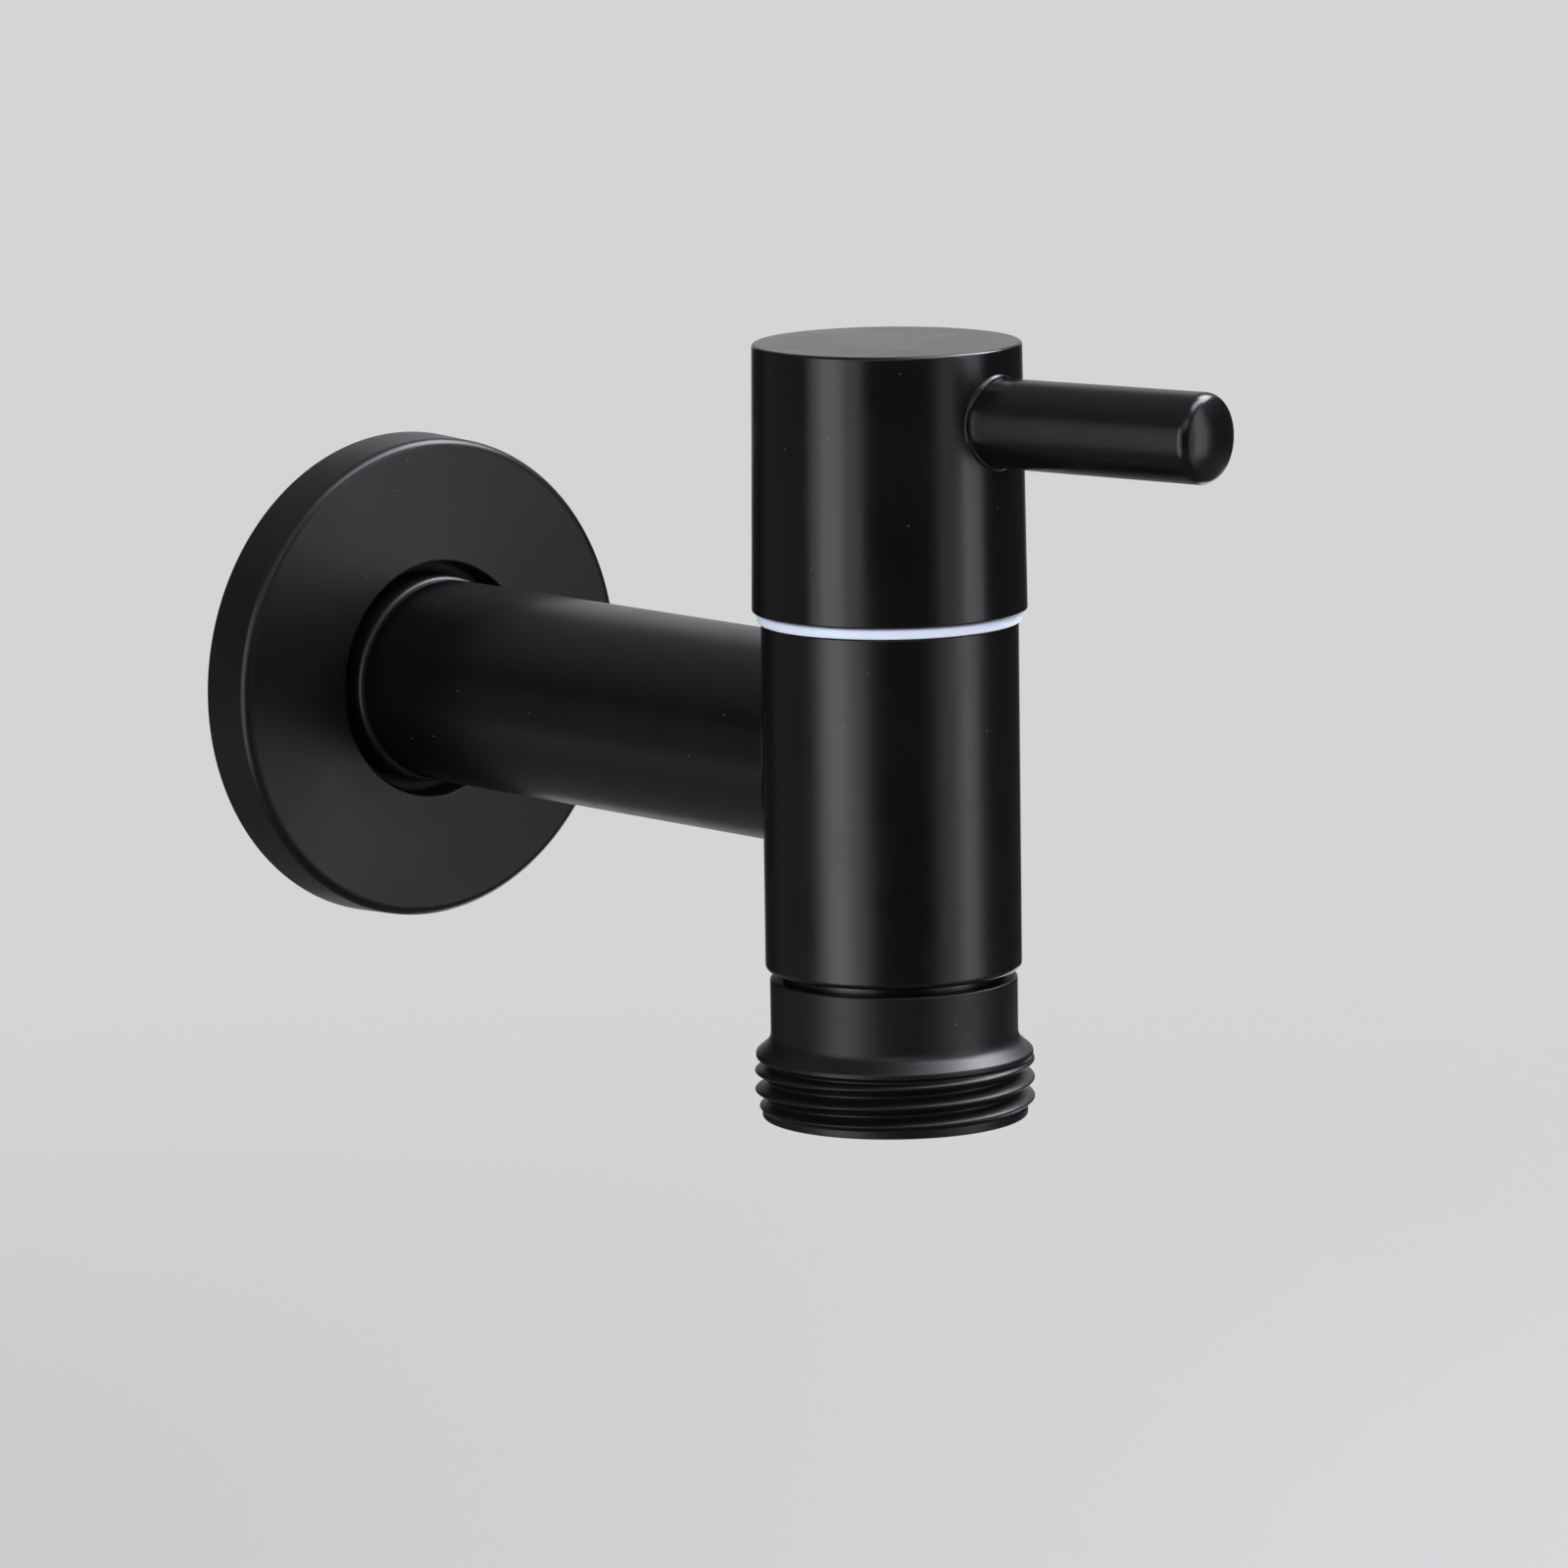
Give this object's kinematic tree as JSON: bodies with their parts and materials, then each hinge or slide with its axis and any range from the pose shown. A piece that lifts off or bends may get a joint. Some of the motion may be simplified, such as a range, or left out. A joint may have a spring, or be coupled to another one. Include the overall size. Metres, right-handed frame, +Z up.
{
  "type": "garden tap",
  "caption": "Black wall mounted garden tap: round wall flange, level arm, upright barrel with a quarter turn pin lever cap and a threaded outlet for a hose union.",
  "frame": {"origin": "centre of the inlet thread's axis at the wall, which is the back of the flange", "axes": "+Y into the wall along the inlet thread, +Z up along the barrel, so the tap reaches towards -Y"},
  "size_m": [0.048, 0.1236, 0.0734],
  "materials": {
    "black_coat": "satin black coat on brass",
    "black_rubber": "matt",
    "ceramic": "lapped",
    "brass": "turned",
    "white_nylon": "moulded",
    "steel": "plain",
    "pale_ring": "semi gloss, pale bluish white"
  },
  "bodies": {
    "body": {"wall_flange": "black_coat", "flange_grip_ring": "black_rubber", "inlet_nipple": "black_coat", "arm_seal": "black_rubber", "arm_tube": "black_coat", "tap_body": "black_coat", "seat_washer": "black_rubber", "fixed_disc": "ceramic", "cartridge_housing": "brass", "cartridge_seal": "black_rubber", "thrust_washer": "white_nylon", "indicator_ring": "pale_ring", "outlet_washer": "black_rubber", "outlet_nozzle": "black_coat", "flow_straightener": "white_nylon", "outlet_screen": "steel", "screen_retainer": "white_nylon"},
    "handle": {"spindle": "brass", "spindle_seals": "black_rubber", "moving_disc": "ceramic", "spindle_clip": "steel", "spline_insert": "white_nylon", "handle_cap": "black_coat", "lever": "black_coat", "handle_screw": "steel"}
  },
  "joints": [
    {"name": "handle_turn", "type": "hinge", "parent": "body", "child": "handle", "pos_m": [0, -0.074, 0.0127], "axis": [0, 0, 1], "range_deg": [0, 90]}
  ]
}
